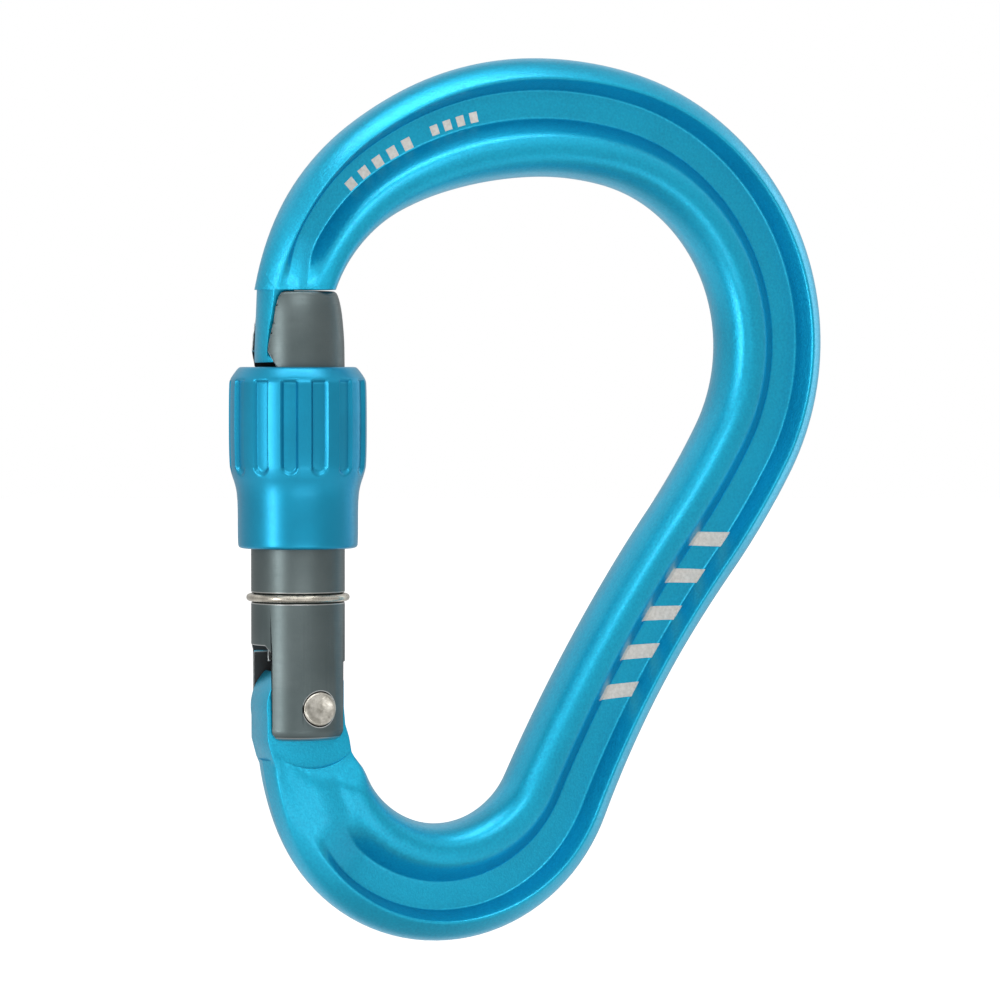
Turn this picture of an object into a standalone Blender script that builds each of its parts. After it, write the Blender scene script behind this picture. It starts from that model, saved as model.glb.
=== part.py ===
"""Pear-shaped screw-gate carabiner, as seven separate pieces. Metres, +Z up.

The frame stands upright in the XZ plane with its origin at the middle of its
bounding box. The gate is on the -X side and opens inwards, about the rivet's
Y axis. The narrow hinge end is at the bottom, the wide basket at the top.
"""

import math

import bpy
import numpy as np

MM = 0.001

# Frame: centreline from the nose, over the top, down the spine to the hinge.
NOSE_START = (-31.29 * MM, 25.32 * MM)
NOSE_HEADING = math.radians(75.9)
# (radius, length) of each tangent arc; a negative radius bends outwards.
ARCS = (
    (25.0 * MM, 19.2 * MM),
    (40.9 * MM, 32.5 * MM),
    (27.4 * MM, 22.5 * MM),
    (27.3 * MM, 27.5 * MM),
    (94.3 * MM, 13.9 * MM),
    (-158.7 * MM, 36.1 * MM),
    (16.7 * MM, 39.0 * MM),
    (27.0 * MM, 6.4 * MM),
)
LEAD_IN = 2.5 * MM
STATION_STEP = 3.5 * MM
# Width of the frame at even steps along the centreline.
WIDTHS = [
    width * MM
    for width in (8.9, 11.7, 14.6, 14.4, 14.0, 13.7, 13.4, 13.1, 12.7, 13.2, 14.5, 14.1, 11.5)
]

# I-beam section from the outer edge to the inner: (share of the width,
# half-depth with the web sunk, half-depth where the web is filled in).
SECTION = (
    (0.000, 0.0, 0.0),
    (0.022, 1.8 * MM, 1.8 * MM),
    (0.085, 3.4 * MM, 3.4 * MM),
    (0.180, 4.2 * MM, 4.2 * MM),
    (0.225, 3.5 * MM, 4.2 * MM),
    (0.275, 1.55 * MM, 4.2 * MM),
    (0.510, 1.55 * MM, 4.2 * MM),
    (0.580, 3.0 * MM, 4.2 * MM),
    (0.640, 3.9 * MM, 4.3 * MM),
    (0.720, 4.3 * MM, 4.4 * MM),
    (0.830, 4.65 * MM, 4.65 * MM),
    (0.930, 4.0 * MM, 4.0 * MM),
    (0.980, 2.3 * MM, 2.3 * MM),
    (1.000, 0.0, 0.0),
)
WEB_START = -0.5 * MM
WEB_END = 8.0 * MM
WEB_FADE = 7.0 * MM
# The outer edge thins near the nose, and flattens to a band as thick as the tang near the hinge.
NOSE_LEAN = 11.0 * MM
NOSE_LEAN_SHARE = 0.25
HINGE_BAND = 17.0 * MM
HINGE_BAND_HALF = 2.99 * MM
HINGE_BAND_ROUND = 0.03
# Below the gate's ears the frame thickens again over a short ramp.
EAR_RAMP_TOP = -29.9 * MM
EAR_RAMP_HEIGHT = 6.5 * MM
EAR_RAMP_RISE = 2.0 * MM
EAR_RAMP_REACH = 25.0 * MM

# Gate tube, upright on its own axis.
TUBE_X = -30.7 * MM
TUBE_R = 5.65 * MM
TUBE_TOP = 25.15 * MM
TUBE_BOTTOM = -28.75 * MM
TUBE_SIDES = 32
BORE_R = 2.5 * MM
BORE_TOP = -1.0 * MM
THREAD_LOW = 1.0 * MM
THREAD_PITCH = 1.5 * MM
THREAD_TURNS = 5
THREAD_DEPTH = 0.3 * MM
THREAD_ROWS = 4

# Hinge: a riveted pin through the tube's two ears and the frame's tang.
PIVOT_X = -29.9 * MM
PIVOT_Z = -24.85 * MM
PIN_R = 1.4 * MM
RIVET_HEAD_R = 2.05 * MM
RIVET_HEAD_Y = 4.3 * MM
RIVET_TOP_Y = 5.6 * MM
RIVET_HOLE_GAP = 0.08 * MM
TANG_HALF = 3.0 * MM
TANG_R = 5.85 * MM
TANG_CAM_R = 4.2 * MM
TANG_CAM_OFFSET = 1.3 * MM
TANG_INNER = 4.0 * MM
TANG_HORN_X = -3.9 * MM
TANG_HOLE_R = 1.65 * MM
EAR_SLOT_HALF = 3.3 * MM
EAR_SLOT_TOP = 5.4 * MM
EAR_MOUTH_TOP = 7.5 * MM
EAR_MOUTH_CHAMFER = 0.9 * MM
EAR_RECESS_R = 7.3 * MM

# Keylock nose: a T-shaped head on a neck, in a matching pocket in the tube.
SHOULDER_Z = TUBE_TOP + 0.3 * MM
NOSE_DEEP_X = -32.2 * MM
NOSE_R = 5.2 * MM
NOSE_ROOT_R = 4.8 * MM
NOSE_TAPER_Z = 18.0 * MM
# Half of the nose seen along X, as (half-width, height), top to bottom.
NOSE_HALF = (
    (1.6 * MM, 27.2 * MM),
    (2.9 * MM, 25.5 * MM),
    (2.7 * MM, 22.85 * MM),
    (2.33 * MM, 20.35 * MM),
    (2.17 * MM, 17.95 * MM),
    (2.2 * MM, 17.35 * MM),
    (3.0 * MM, 17.05 * MM),
    (3.0 * MM, 16.5 * MM),
)
NOSE_FLOOR_RISE = 0.3 * MM
POCKET_DEEP_X = -31.6 * MM
# Half of the pocket, with 0.3 mm to 0.5 mm all round the nose.
POCKET_HALF = (
    (3.25 * MM, 27.0 * MM),
    (3.25 * MM, 25.2 * MM),
    (3.3 * MM, 21.5 * MM),
    (2.8 * MM, 18.1 * MM),
    (2.77 * MM, 17.95 * MM),
    (3.5 * MM, 16.7 * MM),
    (4.2 * MM, 15.2 * MM),
)

# Locking sleeve.
SLEEVE_TOP = 16.05 * MM
SLEEVE_BOTTOM = -5.75 * MM
SLEEVE_R = 8.3 * MM
SLEEVE_SKIRT_R = 7.25 * MM
SLEEVE_BORE_R = 5.95 * MM
SLEEVE_RELIEF_R = 6.5 * MM
FLUTES = 14
FLUTE_STEPS = 6
FLUTE_DEPTH = 0.45 * MM
FLUTE_TOP = 14.65 * MM
FLUTE_BOTTOM = 2.95 * MM
FLUTE_START = math.radians(-117.0)

# Wire stop ring in its groove.
RING_Z = -11.65 * MM
RING_WIRE_R = 0.45 * MM
RING_R = 5.78 * MM
RING_GROOVE_R = 0.62 * MM
RING_SPLIT = math.radians(14.0)

# Gate spring and the plunger that it presses on the tang.
PLUNGER_R = 2.2 * MM
PLUNGER_BOTTOM = PIVOT_Z + TANG_CAM_R + 0.06 * MM
PLUNGER_SHOULDER = PLUNGER_BOTTOM + 3.6 * MM
PLUNGER_STEM_R = 1.15 * MM
PLUNGER_TOP = PLUNGER_SHOULDER + 3.0 * MM
SPRING_R = 1.85 * MM
SPRING_WIRE_R = 0.25 * MM
SPRING_TURNS = 10
SPRING_GAP = 0.1 * MM

BLUE = (0.02, 0.36, 0.62)
GUN_METAL = (0.12, 0.13, 0.13)
WARM_STEEL = (0.50, 0.46, 0.40)
SPRING_STEEL = (0.42, 0.43, 0.44)


def clear_scene():
    for obj in list(bpy.context.scene.objects):
        bpy.data.objects.remove(obj)


def material(name, colour, roughness):
    """A metal with one colour."""
    made = bpy.data.materials.new(name)
    made.use_nodes = True
    shader = made.node_tree.nodes["Principled BSDF"]
    shader.inputs["Base Color"].default_value = (*colour, 1.0)
    shader.inputs["Metallic"].default_value = 1.0
    shader.inputs["Roughness"].default_value = roughness
    return made


def add_object(name, points, faces, slot=None, origin=(0.0, 0.0, 0.0), sharp=35.0):
    """Makes an object from points in the part's frame, with its origin moved to the given place."""
    mesh = bpy.data.meshes.new(name)
    mesh.from_pydata([tuple(np.subtract(p, origin)) for p in points], [], faces)
    mesh.validate()
    mesh.shade_smooth()
    mesh.set_sharp_from_angle(angle=math.radians(sharp))
    obj = bpy.data.objects.new(name, mesh)
    obj.location = origin
    bpy.context.collection.objects.link(obj)
    if slot:
        mesh.materials.append(slot)
    return obj


def add_guide(name, points, faces):
    """A cutter, or a shape that is joined to another object."""
    obj = add_object(name, points, faces)
    obj.hide_render = True
    obj.display_type = "WIRE"
    return obj


def combine(target, tool, operation):
    """Adds a Boolean modifier: UNION, DIFFERENCE or INTERSECT."""
    step = target.modifiers.new(f"{operation.lower()}_{tool.name}", "BOOLEAN")
    step.operation = operation
    step.object = tool
    step.solver = "EXACT"


def loft(rings, closed_path=False):
    """Points and faces of a skin over equal rings of points, with its open ends capped."""
    count = len(rings[0])
    points = [p for ring in rings for p in ring]
    faces = []
    for i in range(len(rings) if closed_path else len(rings) - 1):
        low = i * count
        high = (i + 1) % len(rings) * count
        for j in range(count):
            k = (j + 1) % count
            faces.append((low + j, low + k, high + k, high + j))
    if not closed_path:
        faces.append(tuple(reversed(range(count))))
        faces.append(tuple(range(len(points) - count, len(points))))
    return points, faces


def prism(outline, axis, low, high):
    """A flat outline, anticlockwise seen from the axis's positive end, pushed out along X, Y or Z."""
    def point(a, b, along):
        return {"X": (along, a, b), "Y": (b, along, a), "Z": (a, b, along)}[axis]

    return loft([[point(a, b, low) for a, b in outline], [point(a, b, high) for a, b in outline]])


def circle(radius, sides, middle=(0.0, 0.0)):
    angles = [2.0 * math.pi * i / sides for i in range(sides)]
    return [(middle[0] + radius * math.cos(a), middle[1] + radius * math.sin(a)) for a in angles]


def turned(radii, sides, x, y=0.0):
    """Rings about an upright axis from (height, radius) pairs, bottom to top."""
    return [[(px, py, z) for px, py in circle(r, sides, (x, y))] for z, r in radii]


def turned_on_y(radii, sides, x, z):
    """Rings about an axis along Y from (y, radius) pairs, lowest y first."""
    return [[(px, y, pz) for pz, px in circle(r, sides, (z, x))] for y, r in radii]


def ease(t):
    t = min(max(t, 0.0), 1.0)
    return t * t * (3.0 - 2.0 * t)


# ---------------------------------------------------------------- frame


def centreline():
    """Stations along the frame: x, z, heading and distance from the nose."""
    x, z = NOSE_START
    heading = NOSE_HEADING
    x -= LEAD_IN * math.cos(heading)
    z -= LEAD_IN * math.sin(heading)
    stations = [(x, z, heading, -LEAD_IN)]
    x, z = NOSE_START
    distance = 0.0
    for radius, length in ARCS:
        steps = max(2, round(length / STATION_STEP))
        for i in range(steps):
            turn = i * length / steps / radius
            here = (
                x + radius * (math.sin(heading) - math.sin(heading - turn)),
                z + radius * (math.cos(heading - turn) - math.cos(heading)),
            )
            stations.append((*here, heading - turn, distance + i * length / steps))
        turn = length / radius
        x += radius * (math.sin(heading) - math.sin(heading - turn))
        z += radius * (math.cos(heading - turn) - math.cos(heading))
        heading -= turn
        distance += length
    stations.append((x, z, heading, distance))
    return stations


def ear_limit(z, left):
    """The most half-depth at a height, so that the gate's ears pass outside the frame's last stretch."""
    if left > EAR_RAMP_REACH:
        return math.inf
    return TANG_HALF + EAR_RAMP_RISE * ease((EAR_RAMP_TOP - z) / EAR_RAMP_HEIGHT)


def edge_depth(share, depth, distance, total):
    """A half-depth with the outer edge thinned near the nose and flattened near the hinge."""
    outer = 1.0 - ease((share - 0.1) / 0.35)
    depth *= 1.0 - NOSE_LEAN_SHARE * outer * (1.0 - ease(distance / NOSE_LEAN))
    band = HINGE_BAND_HALF * ease(share / HINGE_BAND_ROUND)
    return depth + (band - depth) * outer * ease((distance - total + HINGE_BAND) / HINGE_BAND)


def frame_ring(station, total):
    """The section at one station, round from the outer edge over the front to the inner edge and back."""
    x, z, heading, distance = station
    width = np.interp(distance / total, np.linspace(0.0, 1.0, len(WIDTHS)), WIDTHS)
    outward = (-math.sin(heading), math.cos(heading))
    web = ease((distance - WEB_START) / WEB_FADE) * ease((total - WEB_END - distance) / WEB_FADE)
    half = []
    for share, sunk, filled in SECTION:
        across = (0.5 - share) * width
        here = (x + outward[0] * across, z + outward[1] * across)
        depth = edge_depth(share, filled + (sunk - filled) * web, distance, total)
        half.append((*here, min(depth, ear_limit(here[1], total - distance))))
    front = [(px, -depth, pz) for px, pz, depth in half]
    back = [(px, depth, pz) for px, pz, depth in half[-2:0:-1]]
    return front + back


def nose_guide():
    """The T-headed nose: its outline along X, rounded by the tube's own radius."""
    outline = [(-y, z) for y, z in NOSE_HALF] + [(y, z) for y, z in reversed(NOSE_HALF)]
    points, faces = prism(outline, "X", TUBE_X - NOSE_R - MM, NOSE_DEEP_X)
    lowest = NOSE_HALF[-1][1]
    points = [
        (x, y, z + NOSE_FLOOR_RISE * (x > TUBE_X - NOSE_R) * (z <= lowest)) for x, y, z in points
    ]
    nose = add_guide("nose_guide", points, faces)
    radii = ((lowest - MM, NOSE_R), (NOSE_TAPER_Z, NOSE_R), (NOSE_HALF[0][1] + MM, NOSE_ROOT_R))
    post = turned(radii, 64, TUBE_X)
    combine(nose, add_guide("nose_round", *loft(post)), "INTERSECT")
    return nose


def tang_outline():
    """The tang as (z, x): a round outer horn, a notch, then the cam on which the plunger rides."""
    horn = math.acos(TANG_HORN_X / TANG_R)
    low = math.radians(190.0)
    edge = [low + (horn - low) * i / 10 for i in range(11)]
    outer = [(TANG_R * math.sin(a), TANG_R * math.cos(a)) for a in edge]
    start = math.radians(152.0)
    end = math.acos((TANG_INNER - TANG_CAM_OFFSET) / TANG_CAM_R)
    sweep = [start + (end - start) * i / 10 for i in range(11)]
    cam = [(TANG_CAM_R * math.sin(a), TANG_CAM_OFFSET + TANG_CAM_R * math.cos(a)) for a in sweep]
    inner = [(0.0, TANG_INNER), (-2.1 * MM, 4.2 * MM), (-3.7 * MM, 4.7 * MM), (-6.6 * MM, 5.2 * MM)]
    root = [(-8.0 * MM, -4.3 * MM), (-6.0 * MM, -5.15 * MM), (-3.8 * MM, -5.75 * MM)]
    return [(z + PIVOT_Z, x + PIVOT_X) for z, x in outer + cam + inner + root]


def make_frame(slot):
    stations = centreline()
    total = stations[-1][3]
    body = add_object("forged_body", *loft([frame_ring(s, total) for s in stations]), slot)

    below = [(TUBE_X - 8 * MM, -8 * MM), (TUBE_X + 8 * MM, -8 * MM)]
    below += [(TUBE_X + 8 * MM, 8 * MM), (TUBE_X - 8 * MM, 8 * MM)]
    trim = add_guide("shoulder_trim", *prism(below, "Z", SHOULDER_Z - 9 * MM, SHOULDER_Z))
    combine(body, trim, "DIFFERENCE")
    combine(body, nose_guide(), "UNION")

    tang = add_guide("tang_guide", *prism(tang_outline(), "Y", -TANG_HALF, TANG_HALF))
    combine(body, tang, "UNION")
    for side, name in ((-1, "front"), (1, "back")):
        ends = sorted((side * TANG_HALF, side * 9 * MM))
        rings = turned_on_y([(y, EAR_RECESS_R) for y in ends], 48, PIVOT_X, PIVOT_Z)
        combine(body, add_guide(f"ear_recess_{name}", *loft(rings)), "DIFFERENCE")
    hole = turned_on_y([(-9 * MM, TANG_HOLE_R), (9 * MM, TANG_HOLE_R)], 32, PIVOT_X, PIVOT_Z)
    combine(body, add_guide("pivot_hole", *loft(hole)), "DIFFERENCE")
    return body


# ---------------------------------------------------------------- gate


def tube_rings():
    """The tube's turned outside, with the ring's groove, the thread and a rounded top."""
    rows = [(TUBE_BOTTOM, TUBE_R - 1.1 * MM), (TUBE_BOTTOM + 0.35 * MM, TUBE_R - 0.35 * MM)]
    rows.append((TUBE_BOTTOM + 1.1 * MM, TUBE_R))
    for angle in np.radians((-88.0, -50.0, 0.0, 50.0, 88.0)):
        depth = RING_R - RING_GROOVE_R * math.cos(angle)
        rows.append((RING_Z + RING_GROOVE_R * math.sin(angle), min(depth, TUBE_R)))
    rings = turned([rows[0]], TUBE_SIDES, TUBE_X)
    rings += turned(rows[1:], TUBE_SIDES, TUBE_X)
    rings += turned([(THREAD_LOW - 0.6 * MM, TUBE_R)], TUBE_SIDES, TUBE_X)
    for row in range(THREAD_TURNS * THREAD_ROWS + 1):
        rings.append(thread_ring(row))
    top = THREAD_LOW + THREAD_TURNS * THREAD_PITCH + 0.6 * MM
    rows = [(top, TUBE_R), (TUBE_TOP - 7.0 * MM, TUBE_R), (TUBE_TOP - 4.8 * MM, TUBE_R - 0.12 * MM)]
    rows += [(TUBE_TOP - 2.3 * MM, TUBE_R - 0.36 * MM), (TUBE_TOP - 0.7 * MM, TUBE_R - 0.75 * MM)]
    rows += [(TUBE_TOP - 0.15 * MM, TUBE_R - 1.15 * MM), (TUBE_TOP, TUBE_R - 1.6 * MM)]
    return rings + turned(rows, TUBE_SIDES, TUBE_X)


def thread_ring(row):
    """One ring of the thread: the groove's depth follows the helix round the tube."""
    height = THREAD_LOW + row * THREAD_PITCH / THREAD_ROWS
    ring = []
    for i in range(TUBE_SIDES):
        phase = (row / THREAD_ROWS - i / TUBE_SIDES) % 1.0
        radius = TUBE_R - THREAD_DEPTH * (0.5 - 0.5 * math.cos(2.0 * math.pi * phase))
        angle = 2.0 * math.pi * i / TUBE_SIDES
        ring.append((TUBE_X + radius * math.cos(angle), radius * math.sin(angle), height))
    return ring


def make_tube(slot, hinge):
    tube = add_object("gate_tube", *loft(tube_rings()), slot, hinge)

    outline = [(-y, z) for y, z in POCKET_HALF] + [(y, z) for y, z in reversed(POCKET_HALF)]
    pocket = add_guide("nose_pocket", *prism(outline, "X", TUBE_X - 8 * MM, POCKET_DEEP_X))
    combine(tube, pocket, "DIFFERENCE")

    low = TUBE_BOTTOM - 2 * MM
    high = PIVOT_Z + EAR_SLOT_TOP
    outline = [(low, TUBE_X - 8 * MM), (high, TUBE_X - 8 * MM), (high, TUBE_X + 8 * MM)]
    outline.append((low, TUBE_X + 8 * MM))
    slit = add_guide("ear_slot", *prism(outline, "Y", -EAR_SLOT_HALF, EAR_SLOT_HALF))
    combine(tube, slit, "DIFFERENCE")

    high = PIVOT_Z + EAR_MOUTH_TOP
    half = ((EAR_SLOT_HALF, PIVOT_Z), (EAR_SLOT_HALF, high - EAR_MOUTH_CHAMFER))
    half += ((EAR_SLOT_HALF - EAR_MOUTH_CHAMFER, high),)
    outline = list(half) + [(-y, z) for y, z in reversed(half)]
    mouth = prism(outline, "X", TUBE_X - 8 * MM, PIVOT_X + TANG_HORN_X + 0.5 * MM)
    combine(tube, add_guide("ear_mouth", *mouth), "DIFFERENCE")

    bore = turned(((PIVOT_Z, BORE_R), (BORE_TOP, BORE_R)), 24, TUBE_X)
    combine(tube, add_guide("spring_bore", *loft(bore)), "DIFFERENCE")

    gap = RIVET_HOLE_GAP
    steps = [(-8 * MM, RIVET_HEAD_R + gap), (-RIVET_HEAD_Y + gap, RIVET_HEAD_R + gap)]
    steps += [(-RIVET_HEAD_Y + gap, PIN_R + gap), (RIVET_HEAD_Y - gap, PIN_R + gap)]
    steps += [(RIVET_HEAD_Y - gap, RIVET_HEAD_R + gap), (8 * MM, RIVET_HEAD_R + gap)]
    hole = add_guide("rivet_hole", *loft(turned_on_y(steps, 24, PIVOT_X, PIVOT_Z)))
    combine(tube, hole, "DIFFERENCE")
    return tube


def make_rivet(slot, hinge):
    """A pin with a low, peened head at each end."""
    half = [(RIVET_TOP_Y, RIVET_HEAD_R - 0.45 * MM), (RIVET_TOP_Y - 0.2 * MM, RIVET_HEAD_R)]
    half += [(RIVET_HEAD_Y, RIVET_HEAD_R), (RIVET_HEAD_Y, PIN_R)]
    steps = [(-y, r) for y, r in half] + [(y, r) for y, r in reversed(half)]
    return add_object("hinge_rivet", *loft(turned_on_y(steps, 24, PIVOT_X, PIVOT_Z)), slot, hinge)


def wound_wire(coil_r, wire_r, start, end, height, steps, sides):
    """Rings of a wire wound about the tube's axis from one angle to another."""
    rings = []
    for i in range(steps + 1):
        share = i / steps
        angle = start + (end - start) * share
        ring = []
        for j in range(sides):
            around = -2.0 * math.pi * j / sides
            radius = coil_r + wire_r * math.cos(around)
            place = (TUBE_X + radius * math.cos(angle), radius * math.sin(angle))
            ring.append((*place, height(share) + wire_r * math.sin(around)))
        rings.append(ring)
    return rings


def make_stop_ring(slot, axis):
    """A split wire ring; its two ends are at the back."""
    middle = math.radians(90.0)
    start = middle + RING_SPLIT / 2.0
    end = middle + 2.0 * math.pi - RING_SPLIT / 2.0
    rings = wound_wire(RING_R, RING_WIRE_R, start, end, lambda share: RING_Z, 48, 8)
    return add_object("sleeve_stop_ring", *loft(rings), slot, axis, sharp=50.0)


def make_plunger(slot, axis):
    rows = [(PLUNGER_BOTTOM, PLUNGER_R - 0.5 * MM), (PLUNGER_BOTTOM + 0.4 * MM, PLUNGER_R)]
    rows += [(PLUNGER_SHOULDER, PLUNGER_R), (PLUNGER_SHOULDER, PLUNGER_STEM_R)]
    rows += [(PLUNGER_TOP - 0.3 * MM, PLUNGER_STEM_R), (PLUNGER_TOP, PLUNGER_STEM_R - 0.3 * MM)]
    return add_object("spring_plunger", *loft(turned(rows, 24, TUBE_X)), slot, axis)


def make_spring(slot, axis):
    """A compression spring with closed end turns, between the plunger's shoulder and the bore's end."""
    low = PLUNGER_SHOULDER + SPRING_WIRE_R + SPRING_GAP
    high = BORE_TOP - SPRING_WIRE_R - SPRING_GAP
    closed = 1.0 / SPRING_TURNS
    rise = 2.2 * SPRING_WIRE_R

    def height(share):
        return float(np.interp(share, (0.0, closed, 1.0 - closed, 1.0), (low, low + rise, high - rise, high)))

    steps = 12 * SPRING_TURNS
    rings = wound_wire(SPRING_R, SPRING_WIRE_R, 0.0, 2.0 * math.pi * SPRING_TURNS, height, steps, 6)
    return add_object("gate_spring", *loft(rings), slot, axis, sharp=70.0)


# ---------------------------------------------------------------- sleeve


def flute_depth(turn, height):
    """How deep the grip's flutes are at one place; they run out round at their lower end."""
    across = abs((turn * FLUTES + 0.5) % 1.0 - 0.5) * 2.0
    side = 1.0 - ease((across - 0.35) / 0.3)
    top = ease((FLUTE_TOP - height) / (0.8 * MM))
    bottom = ease((height - FLUTE_BOTTOM - 1.6 * MM * across) / (1.0 * MM))
    return FLUTE_DEPTH * side * top * bottom


def sleeve_rings():
    """Up the fluted outside, over the top and down the bore, as a closed band."""
    outside = [(SLEEVE_BOTTOM, SLEEVE_SKIRT_R - 0.5 * MM), (SLEEVE_BOTTOM + 0.5 * MM, SLEEVE_SKIRT_R)]
    outside += [(0.2 * MM, SLEEVE_SKIRT_R), (1.8 * MM, SLEEVE_SKIRT_R + 0.25 * MM)]
    outside += [(3.2 * MM, SLEEVE_R - 0.3 * MM), (4.6 * MM, SLEEVE_R), (6.5 * MM, SLEEVE_R)]
    outside += [(13.6 * MM, SLEEVE_R), (14.2 * MM, SLEEVE_R), (14.8 * MM, SLEEVE_R - 0.35 * MM)]
    outside += [(SLEEVE_TOP - 0.3 * MM, SLEEVE_R - 0.95 * MM), (SLEEVE_TOP, SLEEVE_R - 1.4 * MM)]
    bore = [(SLEEVE_TOP, SLEEVE_BORE_R + 0.3 * MM), (SLEEVE_TOP - 0.3 * MM, SLEEVE_BORE_R)]
    bore += [(12.0 * MM, SLEEVE_BORE_R), (11.5 * MM, SLEEVE_RELIEF_R), (-2.0 * MM, SLEEVE_RELIEF_R)]
    bore += [(-2.5 * MM, SLEEVE_BORE_R), (SLEEVE_BOTTOM, SLEEVE_BORE_R)]
    sides = FLUTES * FLUTE_STEPS
    rings = []
    for index, (height, radius) in enumerate(outside + bore):
        ring = []
        for i in range(sides):
            depth = flute_depth(i / sides, height) if index < len(outside) else 0.0
            angle = FLUTE_START + 2.0 * math.pi * i / sides
            reach = radius - depth
            ring.append((TUBE_X + reach * math.cos(angle), reach * math.sin(angle), height))
        rings.append(ring)
    return rings


def make_sleeve(slot, axis):
    return add_object("locking_sleeve", *loft(sleeve_rings(), closed_path=True), slot, axis)


def parent_under(child, parent):
    child.parent = parent
    child.matrix_parent_inverse = parent.matrix_world.inverted()


def add_axis(name, place):
    axis = bpy.data.objects.new(name, None)
    axis.location = place
    axis.empty_display_size = 5 * MM
    bpy.context.collection.objects.link(axis)
    bpy.context.view_layer.update()
    return axis


def main():
    clear_scene()
    body_blue = material("body_blue", BLUE, 0.34)
    sleeve_blue = material("sleeve_blue", BLUE, 0.30)
    gate_grey = material("gate_grey", GUN_METAL, 0.40)
    rivet_steel = material("rivet_steel", WARM_STEEL, 0.30)
    ring_steel = material("ring_steel", WARM_STEEL, 0.25)
    spring_steel = material("spring_steel", SPRING_STEEL, 0.30)
    plunger_steel = material("plunger_steel", SPRING_STEEL, 0.35)

    hinge = (PIVOT_X, 0.0, PIVOT_Z)
    on_axis = (TUBE_X, 0.0, 0.0)
    make_frame(body_blue)
    gate_axis = add_axis("gate_axis", hinge)
    sleeve_axis = add_axis("sleeve_axis", on_axis)
    parent_under(sleeve_axis, gate_axis)
    for piece in (make_tube(gate_grey, hinge), make_rivet(rivet_steel, hinge)):
        parent_under(piece, gate_axis)
    for piece in (make_plunger(plunger_steel, on_axis), make_spring(spring_steel, on_axis)):
        parent_under(piece, gate_axis)
    for piece in (make_stop_ring(ring_steel, on_axis), make_sleeve(sleeve_blue, on_axis)):
        parent_under(piece, sleeve_axis)


main()
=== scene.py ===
"""Screw-gate carabiner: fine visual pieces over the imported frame, with floor, light and camera."""

import math

import bmesh
import bpy
import numpy as np
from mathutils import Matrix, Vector


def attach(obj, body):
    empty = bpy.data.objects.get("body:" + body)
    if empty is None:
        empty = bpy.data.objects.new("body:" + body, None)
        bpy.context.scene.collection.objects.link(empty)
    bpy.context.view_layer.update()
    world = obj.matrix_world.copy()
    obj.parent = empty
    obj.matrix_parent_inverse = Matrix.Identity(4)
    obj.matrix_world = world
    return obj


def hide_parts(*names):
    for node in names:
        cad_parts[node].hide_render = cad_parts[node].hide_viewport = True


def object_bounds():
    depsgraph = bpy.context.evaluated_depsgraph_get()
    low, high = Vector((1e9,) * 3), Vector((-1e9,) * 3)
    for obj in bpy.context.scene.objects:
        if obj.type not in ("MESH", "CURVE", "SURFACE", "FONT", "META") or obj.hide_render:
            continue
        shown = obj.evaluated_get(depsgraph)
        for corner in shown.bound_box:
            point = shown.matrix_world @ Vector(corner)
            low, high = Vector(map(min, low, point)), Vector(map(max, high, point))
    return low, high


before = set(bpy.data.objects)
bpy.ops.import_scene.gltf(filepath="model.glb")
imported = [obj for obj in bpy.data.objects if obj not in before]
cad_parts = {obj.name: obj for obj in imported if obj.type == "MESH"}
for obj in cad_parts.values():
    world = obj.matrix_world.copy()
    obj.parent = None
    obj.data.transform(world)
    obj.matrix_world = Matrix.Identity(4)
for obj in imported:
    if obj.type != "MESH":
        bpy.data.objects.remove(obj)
CAD_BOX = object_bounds()
MM = 0.001

# ---------------------------------------------------------------- dimensions

# Frame: tangent arcs from the nose round to the hinge, as (radius, length).
NOSE_START = (-31.29, 25.32)
NOSE_HEADING = math.radians(75.9)
ARCS = (
    (25.0, 19.2),
    (40.9, 32.5),
    (27.4, 22.5),
    (27.3, 27.5),
    (94.3, 13.9),
    (-158.7, 36.1),
    (16.7, 39.0),
    (27.0, 6.4),
)
LENGTH = sum(length for _, length in ARCS)
LEAD_IN = 2.5
STATION_STEP = 1.0
WIDTHS = (8.9, 11.7, 14.6, 14.4, 14.0, 13.7, 13.4, 13.1, 12.7, 13.2, 14.5, 14.1, 11.5)
WIDTH_BLUR = 7.0

# Section from the outer edge to the inner: (share of the width, half-depth
# with the web sunk, half-depth where the web is filled in).
SECTION = (
    (0.000, 0.5, 0.5),
    (0.014, 1.45, 1.4),
    (0.045, 2.40, 2.35),
    (0.095, 3.25, 3.2),
    (0.150, 3.95, 3.85),
    (0.178, 4.22, 4.0),
    (0.196, 4.10, 4.1),
    (0.262, 1.85, 4.2),
    (0.276, 1.58, 4.2),
    (0.300, 1.55, 4.2),
    (0.400, 1.55, 4.2),
    (0.490, 1.55, 4.2),
    (0.515, 1.60, 4.2),
    (0.535, 1.95, 4.2),
    (0.615, 3.45, 4.2),
    (0.645, 3.95, 4.3),
    (0.680, 4.35, 4.4),
    (0.730, 4.55, 4.5),
    (0.780, 4.62, 4.6),
    (0.830, 4.58, 4.6),
    (0.880, 4.30, 4.3),
    (0.925, 3.65, 3.7),
    (0.962, 2.80, 2.8),
    (0.986, 1.70, 1.7),
    (1.000, 0.7, 0.7),
)
WEB_START = -0.5
WEB_END = 8.0
WEB_FADE = 7.0
# The outer edge thins near the nose, and near the hinge flattens to a band as
# thick as the tang.
NOSE_LEAN = 11.0
NOSE_LEAN_SHARE = 0.25
HINGE_BAND = 17.0
HINGE_BAND_HALF = 2.99
HINGE_BAND_ROUND = 0.03
# Below the gate's ears the frame thickens again over a short ramp.
EAR_RAMP_TOP = -29.9
EAR_RAMP_HEIGHT = 6.5
EAR_RAMP_RISE = 2.0
EAR_RAMP_REACH = 25.0
EAR_CLEARANCE = 0.01
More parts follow.
